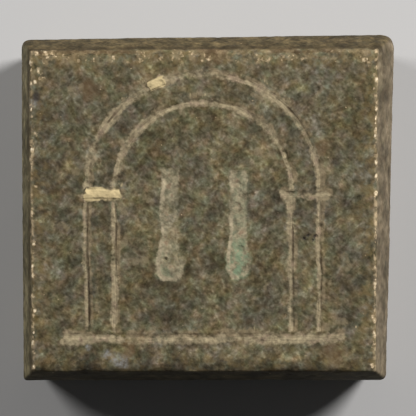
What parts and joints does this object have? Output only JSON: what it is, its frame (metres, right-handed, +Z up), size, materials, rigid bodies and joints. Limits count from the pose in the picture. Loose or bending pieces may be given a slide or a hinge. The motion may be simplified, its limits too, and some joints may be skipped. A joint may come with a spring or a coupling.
{
  "type": "scale weight",
  "caption": "Square cast bronze balance weight with a girth wider than its two flat faces and an inlaid arch and slugs on its upper face.",
  "frame": {"origin": "middle of the underside, under the middle of the girth's box", "axes": "+Z up through the marked face, +Y towards the crown of the inlaid arch, +X to the right when looking down on the marked face"},
  "size_m": [0.0298, 0.0276, 0.0082],
  "materials": {
    "patinated_bronze": "matte, granular olive-brown patina, worn to bare golden metal in specks along the edges of the face",
    "inlay_strip": "matte, tarnished to a light tan",
    "inlay_slug": "matte, greyish tan with green corrosion"
  },
  "bodies": {
    "root": {"weight_block": "patinated_bronze", "arch_outer_strip": "inlay_strip", "arch_inner_strip": "inlay_strip", "left_column_outer_strip": "inlay_strip", "left_column_inner_strip": "inlay_strip", "right_column_outer_strip": "inlay_strip", "right_column_inner_strip": "inlay_strip", "left_capital_strip": "inlay_strip", "right_capital_strip": "inlay_strip", "base_strip": "inlay_strip", "left_slug": "inlay_slug", "right_slug": "inlay_slug"}
  },
  "joints": []
}
